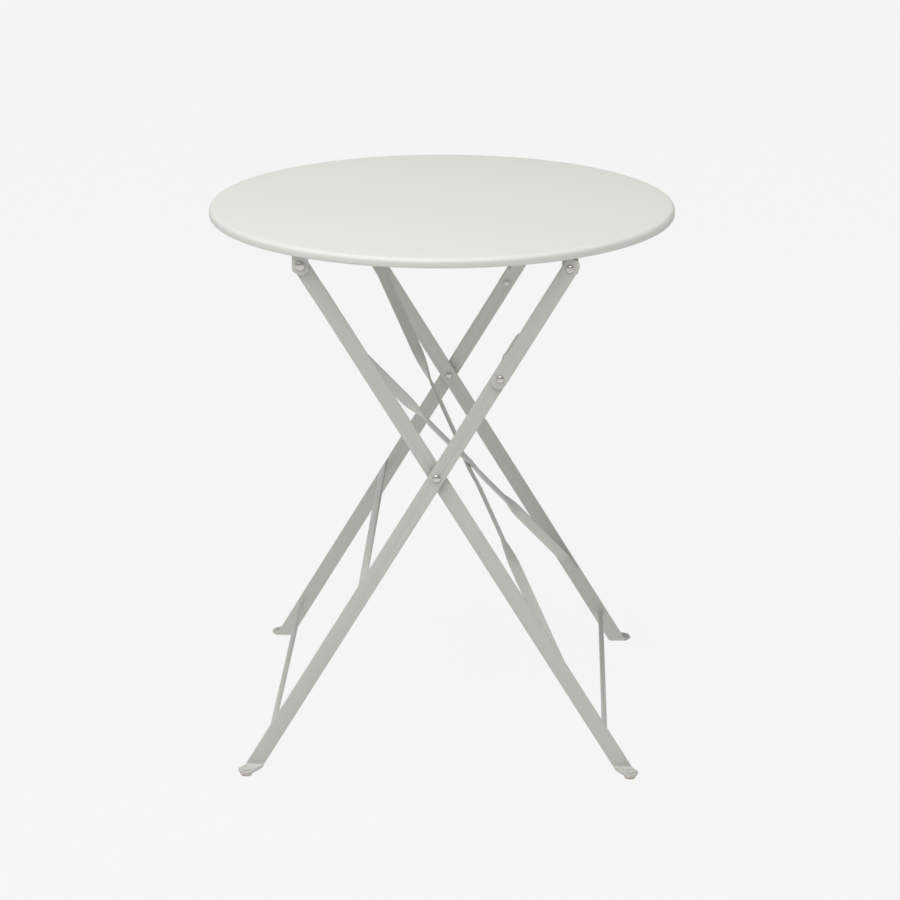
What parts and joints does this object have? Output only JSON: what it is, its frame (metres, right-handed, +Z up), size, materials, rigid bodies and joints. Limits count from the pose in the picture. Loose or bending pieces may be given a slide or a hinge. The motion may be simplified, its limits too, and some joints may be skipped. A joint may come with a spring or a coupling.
{
  "type": "bistro table",
  "caption": "Round pressed steel table on crossed flat-bar legs that fold flat against the top, with twisted cross braces and bent-out feet.",
  "frame": {"origin": "on the floor, under the centre of the round top, with the table open", "axes": "+X along the rails towards the links, +Y from the front legs to the back legs, +Z up"},
  "size_m": [0.6, 0.6, 0.6928],
  "materials": {
    "top_coating": "satin powder coat",
    "frame_coating": "satin powder coat",
    "bright_fastener": "polished",
    "pad": "matte"
  },
  "bodies": {
    "top": {"top_disc": "top_coating", "rail_front": "frame_coating", "rail_back": "frame_coating", "leg_rivet_front": "bright_fastener", "leg_rivet_back": "bright_fastener", "link_screw_front": "bright_fastener", "link_screw_back": "bright_fastener", "link_nut_front": "bright_fastener", "link_nut_back": "bright_fastener"},
    "frame_a": {"leg_a_front": "frame_coating", "leg_a_back": "frame_coating", "brace_rising": "frame_coating", "brace_falling": "frame_coating", "stretcher_a": "frame_coating", "cross_rivet_inner_front": "bright_fastener", "cross_rivet_inner_back": "bright_fastener", "cross_spacer_front": "frame_coating", "cross_spacer_back": "frame_coating", "foot_pad_a_front": "pad", "foot_pad_a_back": "pad"},
    "links": {"link_front": "frame_coating", "link_back": "frame_coating", "link_rivet_front": "bright_fastener", "link_rivet_back": "bright_fastener"},
    "frame_b": {"leg_b_front": "frame_coating", "leg_b_back": "frame_coating", "cross_strip": "frame_coating", "stretcher_b": "frame_coating", "cross_rivet_outer_front": "bright_fastener", "cross_rivet_outer_back": "bright_fastener", "foot_pad_b_front": "pad", "foot_pad_b_back": "pad"}
  },
  "joints": [
    {"name": "leg_pivot", "type": "hinge", "parent": "top", "child": "frame_a", "pos_m": [-0.165, 0, 0.6674], "axis": [0, -1, 0], "range_deg": [0, 53.99]},
    {"name": "link_pivot", "type": "hinge", "parent": "top", "child": "links", "pos_m": [0.165, 0, 0.6674], "axis": [0, -1, 0], "range_deg": [-57.72, 0]},
    {"name": "link_joint", "type": "hinge", "parent": "links", "child": "frame_b", "pos_m": [0.08038, 0, 0.52691], "axis": [0, -1, 0], "range_deg": [0, 170.71]}
  ],
  "couplings": [
    {"joint": "link_pivot", "follows": "leg_pivot", "ratio": -1.0691},
    {"joint": "link_joint", "follows": "leg_pivot", "ratio": 3.1616}
  ]
}
